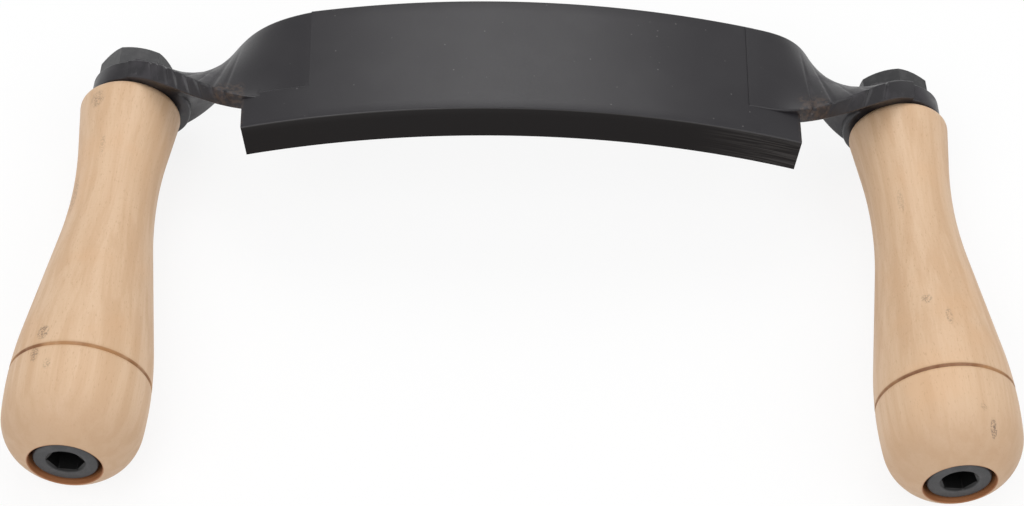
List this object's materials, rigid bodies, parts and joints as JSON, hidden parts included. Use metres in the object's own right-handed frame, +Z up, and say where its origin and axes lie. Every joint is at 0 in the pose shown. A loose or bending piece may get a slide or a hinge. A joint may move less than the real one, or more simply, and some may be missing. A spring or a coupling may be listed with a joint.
{
  "type": "curved drawknife",
  "caption": "Drawknife with an arched, forged blade, twisted necks ending in round ears, and turned wooden handles bolted through their length.",
  "frame": {"origin": "middle of the knife's footprint on the bench, where it lies on its two ears and two handles", "axes": "+X along the blade to the right-hand handle, +Y away from the user towards the spine, +Z up, through the crown of the arch"},
  "size_m": [0.248, 0.1236, 0.0459],
  "materials": {
    "blackened_steel": "satin black scale, ground at the bevel",
    "turned_wood": "turned and oiled, with one burnt ring",
    "dark_bolt_steel": "black oxide, satin",
    "plain_steel": "plain, dull"
  },
  "bodies": {
    "root": {"blade": "blackened_steel", "handle_left": "turned_wood", "handle_right": "turned_wood", "screw_left": "dark_bolt_steel", "screw_right": "dark_bolt_steel", "washer_left": "plain_steel", "washer_right": "plain_steel", "nut_left": "dark_bolt_steel", "nut_right": "dark_bolt_steel"}
  },
  "joints": []
}
